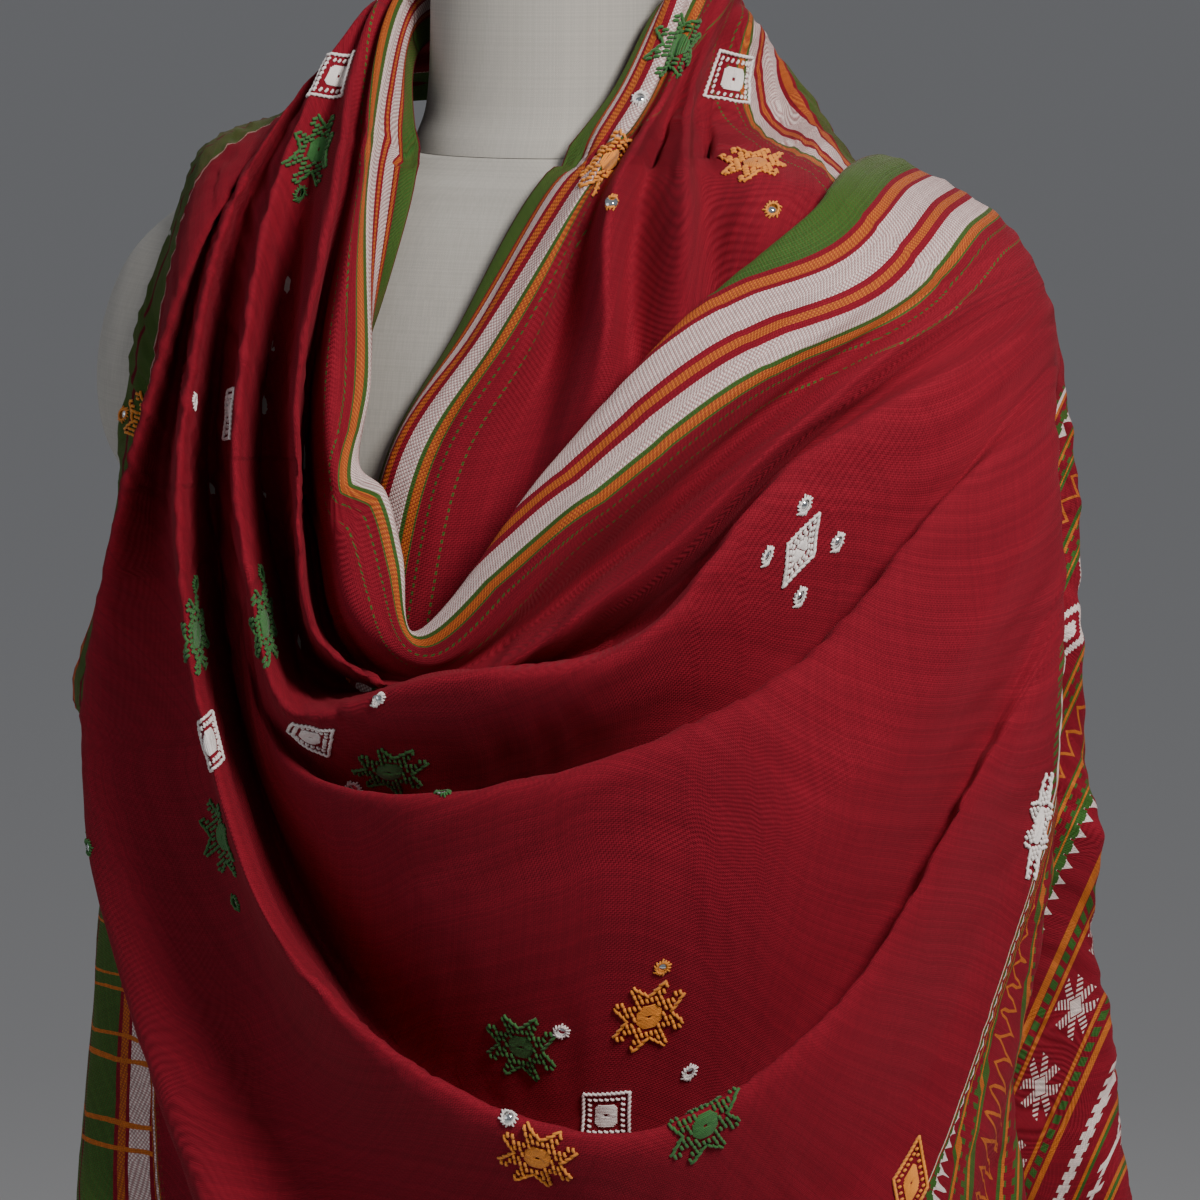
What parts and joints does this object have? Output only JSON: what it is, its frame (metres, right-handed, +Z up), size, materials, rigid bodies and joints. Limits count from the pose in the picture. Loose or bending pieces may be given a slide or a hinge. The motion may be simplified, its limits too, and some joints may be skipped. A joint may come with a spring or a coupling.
{
  "type": "mirror work shawl on dress form",
  "caption": "Long wool shawl with mirror work and striped borders, draped round the neck and over one shoulder of a limbless dress form on a round stand.",
  "frame": {"origin": "middle of the underside of the stand's round base", "axes": "+Z up along the stand's pole, -Y towards the front of the form, +X towards the wearer's left"},
  "size_m": [0.5149, 0.3446, 1.526],
  "materials": {
    "crimson_wool": "woven wool with embroidery and small round mirrors",
    "form_linen": "off-white linen over a smooth form",
    "stand_steel": "dark satin paint"
  },
  "bodies": {
    "root": {"form_neck": "form_linen", "form_torso": "form_linen", "shawl_front_swags": "crimson_wool", "shawl_nape": "crimson_wool", "shawl_neck_folds": "crimson_wool", "shawl_right_fall": "crimson_wool", "shawl_tail": "crimson_wool", "stand_base": "stand_steel", "stand_pole": "stand_steel"}
  },
  "joints": []
}
